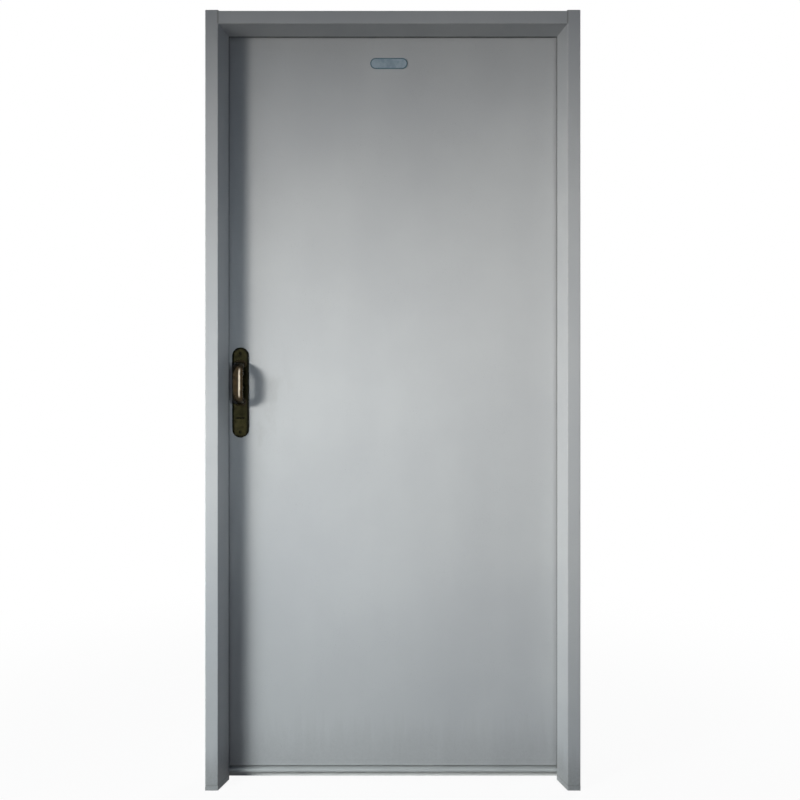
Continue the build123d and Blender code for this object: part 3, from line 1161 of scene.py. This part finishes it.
@dataclass
class PullHandles:
    """Plate, bow grip and key cover on each face of the leaf, with their screws.

    Attributes:
        effects: The shared groups.
        screw_inset: How far the screws lie from the plate's ends.
        screw_spins: The turn of the upper and of the lower screw's slot.
        sides: The two faces, and the way that their screws look.
    """

    effects: SharedEffects
    screw_inset: float = 0.0155
    screw_spins: tuple[float, float] = (0.5, 1.2)
    sides: tuple[tuple[str, ScrewFacing], ...] = (
        ("front", ScrewFacing.FRONT), ("back", ScrewFacing.BACK),
    )

    def build(self) -> None:
        """Dresses the handles and sets their screws."""
        # The plate's bevelled rim carries painted shade.
        plate = Bronze("plate_bronze", bevel=Stadium.of_node("front_handle_plate"))
        cover = Bronze("cover_bronze", tone=(46, 45, 26))
        screw = Bronze("screw_bronze", tone=(26, 25, 15), stain=(15, 14, 9), rub_share=0.0)
        grip = Bronze(
            "grip_bronze", tone=(48, 39, 22), stain=(28, 22, 13), rubbed=(92, 70, 42),
            rub=(0.066, 0.0805), rub_share=0.25, lacquer=0.2, roughness=0.13,
            # The strip on the grip's crown is a painted highlight.
            painted_highlight=PaintedHighlightStrip((-0.4161, 1.0955), 0.0021, 0.039),
        )
        finishes = {"handle_plate": plate, "key_cover": cover, "grip": grip}
        made = {node: finish.make(self.effects) for node, finish in finishes.items()}
        upper_spin, lower_spin = self.screw_spins
        places = []
        for side, facing in self.sides:
            for node, material in made.items():
                dress([f"{side}_{node}"], material)
            low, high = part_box(f"{side}_handle_plate")
            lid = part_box(f"{side}_key_cover")
            across = (low.x + high.x) / 2
            outer = min if facing is ScrewFacing.FRONT else max
            upper = (across, outer(low.y, high.y), high.z - self.screw_inset)
            lower = (across, outer(lid[0].y, lid[1].y), low.z + self.screw_inset)
            places += [(upper, facing, upper_spin), (lower, facing, lower_spin)]
        ScrewSet(
            "handle_screws", Body.LEAF, "bronze", screw.make(self.effects), places,
            head_radius=0.0042, head_height=0.0014,
        ).build()


@dataclass
class Hinges:
    """Three butt hinges with their screws.

    Attributes:
        effects: The shared groups.
        names: The hinges.
        rows: The screws' heights from a hinge's middle.
        depths: How far the even and the odd screws lie from a flap's front edge.
        flaps: The screws of each kind of flap: their piece, their body, their plane, the way they
            look, and the turn from one slot to the next.
    """

    effects: SharedEffects
    names: tuple[str, ...] = ("top", "middle", "bottom")
    rows: tuple[float, ...] = (-0.036, -0.012, 0.012, 0.036)
    depths: tuple[float, float] = (0.024, 0.010)
    flaps: tuple[tuple[str, Body, float, ScrewFacing, float], ...] = (
        ("hinge_frame_screws", Body.FRAME, 0.4695, ScrewFacing.TO_LOCK, 0.7),
        ("hinge_leaf_screws", Body.LEAF, 0.4685, ScrewFacing.TO_HINGE, 0.9),
    )

    def build(self) -> None:
        """Dresses the hinges and sets the screws of each flap."""
        steel = BareMetal("hinge_steel", tone=(170, 172, 172), stain=(116, 112, 104))
        material = steel.make(self.effects)
        spots = []
        for name in self.names:
            dress([f"{name}_hinge_{part}" for part in ("frame_flap", "leaf_flap", "pin")], material)
            low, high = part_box(f"{name}_hinge_frame_flap")
            middle = (low.z + high.z) / 2
            for index, row in enumerate(self.rows):
                spots.append((index, low.y + self.depths[index % 2], middle + row))
        for piece, body, plane, facing, spin in self.flaps:
            places = [((plane, y, z), facing, spin * index) for index, y, z in spots]
            ScrewSet(
                piece, body, "steel", material, places,
                head_radius=0.0036, head_height=0.0003, slot_depth=0.0005,
            ).build()


@dataclass(frozen=True)
class Lamp:
    """A soft oblong lamp that the camera doesn't see.

    Attributes:
        name: Its name.
        place: Where it hangs.
        aim: The point that it looks at.
        size: Its width and height.
        power: Its power, in watts.
        spread: The angle that its light fills, in degrees.
        tint: Its colour.
        shows: Whether it lights, shows in reflections, or both.
    """

    name: str
    place: Point
    aim: Point
    size: tuple[float, float]
    power: float
    spread: float
    tint: Colour
    shows: Shows = Shows.LIGHT

    def build(self) -> None:
        """Hangs the lamp."""
        data = bpy.data.lights.new(self.name, "AREA")
        data.shape = "RECTANGLE"
        data.size, data.size_y = self.size
        data.energy = self.power
        data.spread = math.radians(self.spread)
        data.color = self.tint
        lamp = add_object(self.name, data)
        lamp.location = self.place
        look = Vector(self.aim) - Vector(self.place)
        lamp.rotation_euler = look.to_track_quat("-Z", "Y").to_euler()
        lamp.visible_camera = False
        lamp.visible_diffuse = self.shows is not Shows.REFLECTION
        lamp.visible_glossy = self.shows is not Shows.LIGHT


KEY_AIM: Point = (0.08, 0.0, 1.22)
LOW_AIM: Point = (-0.32, 0.0, 0.06)
GRIP_AIM: Point = (-0.421, -0.08, 1.09)
WARM: Colour = (1.0, 0.975, 0.925)
COOL: Colour = (0.93, 0.99, 1.0)
WHITE: Colour = (1.0, 1.0, 1.0)


@dataclass
class Studio:
    """Pale floor, plain soft light and the camera.

    Attributes:
        eye: The camera's place.
        lens: Its focal length, in millimetres.
        shift: How far its picture is shifted up.
        lamps: The key lamp and two soft ones, two for the lower half, one that the grip mirrors,
            two that fill the shade, and one behind the door.
        sky: What the world lights with.
        floor_light: What the floor gives back to the door.
        floor_tone: What the camera sees of it in the door's shadow.
        floor_glow: How white it is, from near the door outwards.
    """

    eye: Point = (0.01936, -2.8995, 1.22638)
    lens: float = 46.845
    shift: float = -0.0817
    lamps: tuple[Lamp, ...] = (
        Lamp("key_lamp", (-3.42, -3.38, 1.95), KEY_AIM, (1.0, 0.7), 4.15, 27.5, WARM),
        Lamp("soft_near", (-3.0, -3.75, 1.95), KEY_AIM, (1.8, 1.0), 0.95, 27.5, WARM),
        Lamp("soft_far", (-4.03, -2.61, 1.95), (0.12, 0.0, 0.95), (1.8, 1.0), 2.15, 27.5,
             (0.97, 0.99, 1.0)),
        Lamp("low_near", (-3.3, -3.5, 1.95), LOW_AIM, (1.2, 0.7), 2.75, 29.0, COOL),
        Lamp("low_far", (-3.83, -2.89, 1.95), LOW_AIM, (1.2, 0.7), 2.75, 29.0, COOL),
        Lamp("window_lamp", (1.9, -4.6, 1.4), GRIP_AIM, (1.0, 3.0), 0.5, 24.0,
             (0.9, 0.95, 1.0), Shows.REFLECTION),
        Lamp("fill_lamp", (1.2, -4.2, 1.3), (-0.38, 0.0, 1.1), (1.2, 1.0), 0.68, 18.0,
             (0.84, 0.94, 1.0)),
        Lamp("side_lamp", (1.6, -4.0, 1.95), (0.62, 0.0, 1.58), (0.6, 1.4), 0.34, 18.0,
             (1.0, 0.98, 0.94)),
        Lamp("back_lamp", (2.4, 4.0, 2.3), (0.0, 0.0, 1.05), (2.0, 1.6), 60.0, 120.0,
             (1.0, 0.99, 0.97), Shows.BOTH),
    )
    sky: Colour = (0.052, 0.065, 0.088)
    floor_light: Colour = (0.12, 0.12, 0.12)
    floor_tone: Colour = (0.9, 0.9, 0.9)
    floor_glow: Ramp = Ramp(0.7, 2.4, 0.94, 1.0)

    SENSOR = 36.0
    FLOOR_RADIUS = 9.0
    FLOOR_SEGMENTS = 96
    FLOOR_ROUGHNESS = 0.9

    def build(self) -> None:
        """Makes the floor, the world, the lights and the camera."""
        bpy.context.scene.view_settings.view_transform = "Standard"
        self._floor()
        self._world()
        for lamp in self.lamps:
            lamp.build()
        self._camera()

    @staticmethod
    def _seen(sheet: NodeSheet) -> Socket:
        """Whether a ray comes from the camera, a reflection or a view through glass.

        Args:
            sheet: The sheet to add to.

        Returns:
            The mask's socket.
        """
        rays = sheet.put("ShaderNodeLightPath").outputs
        seen = sheet.math("MAXIMUM", rays["Is Camera Ray"], rays["Is Glossy Ray"])
        return sheet.math("MAXIMUM", seen, rays["Is Transmission Ray"])

    def _floor(self) -> None:
        """A pale floor that keeps the door's shadow."""
        mesh = bpy.data.meshes.new("floor")
        built = bmesh.new()
        bmesh.ops.create_circle(
            built, cap_ends=True, radius=self.FLOOR_RADIUS, segments=self.FLOOR_SEGMENTS
        )
        built.to_mesh(mesh)
        built.free()
        floor = add_object("floor", mesh)
        sheet = MaterialSheet("floor_white")
        seen = self._seen(sheet)
        tone = sheet.blend(seen, self.floor_light, self.floor_tone)
        mesh.materials.append(sheet.finish(Base_Color=tone, Roughness=self.FLOOR_ROUGHNESS))
        x, y, _ = sheet.axes()
        share = sheet.step(sheet.line_distance((x, y), (0.0, 0.0)), self.floor_glow)
        mix = sheet.put("ShaderNodeMixShader", Fac=sheet.multiply(seen, share))
        sheet.feed(mix.inputs[1], sheet.shader.outputs[0])
        sheet.feed(mix.inputs[2], sheet.put("ShaderNodeEmission", Color=WHITE).outputs[0])
        sheet.feed_all(sheet.tree.nodes["Material Output"], Surface=mix.outputs[0])

    def _world(self) -> None:
        """An even cool sky that the camera sees as white."""
        world = bpy.data.worlds.new("studio")
        bpy.context.scene.world = world
        world.use_nodes = True
        sheet = NodeSheet(world.node_tree)
        back = world.node_tree.nodes["Background"]
        sheet.feed_all(back, Color=sheet.blend(self._seen(sheet), self.sky, WHITE))

    def _camera(self) -> None:
        """A level camera in front of the door."""
        data = bpy.data.cameras.new("camera")
        data.lens = self.lens
        data.sensor_width = self.SENSOR
        data.shift_y = self.shift
        camera = add_object("camera", data)
        camera.location = self.eye
        camera.rotation_euler = (math.pi / 2, 0.0, 0.0)
        bpy.context.scene.camera = camera


def main() -> None:
    """Builds the classes in order and logs each."""
    logging.basicConfig(level=logging.INFO, format="%(name)s: %(message)s")
    effects = SharedEffects()
    parts = (DoorFrame(effects), DoorLeaf(effects), PullHandles(effects), Hinges(effects), Studio())
    for part in parts:
        part.build()
        log.info("%s built", type(part).__name__)


if __name__ == "__main__":
    main()
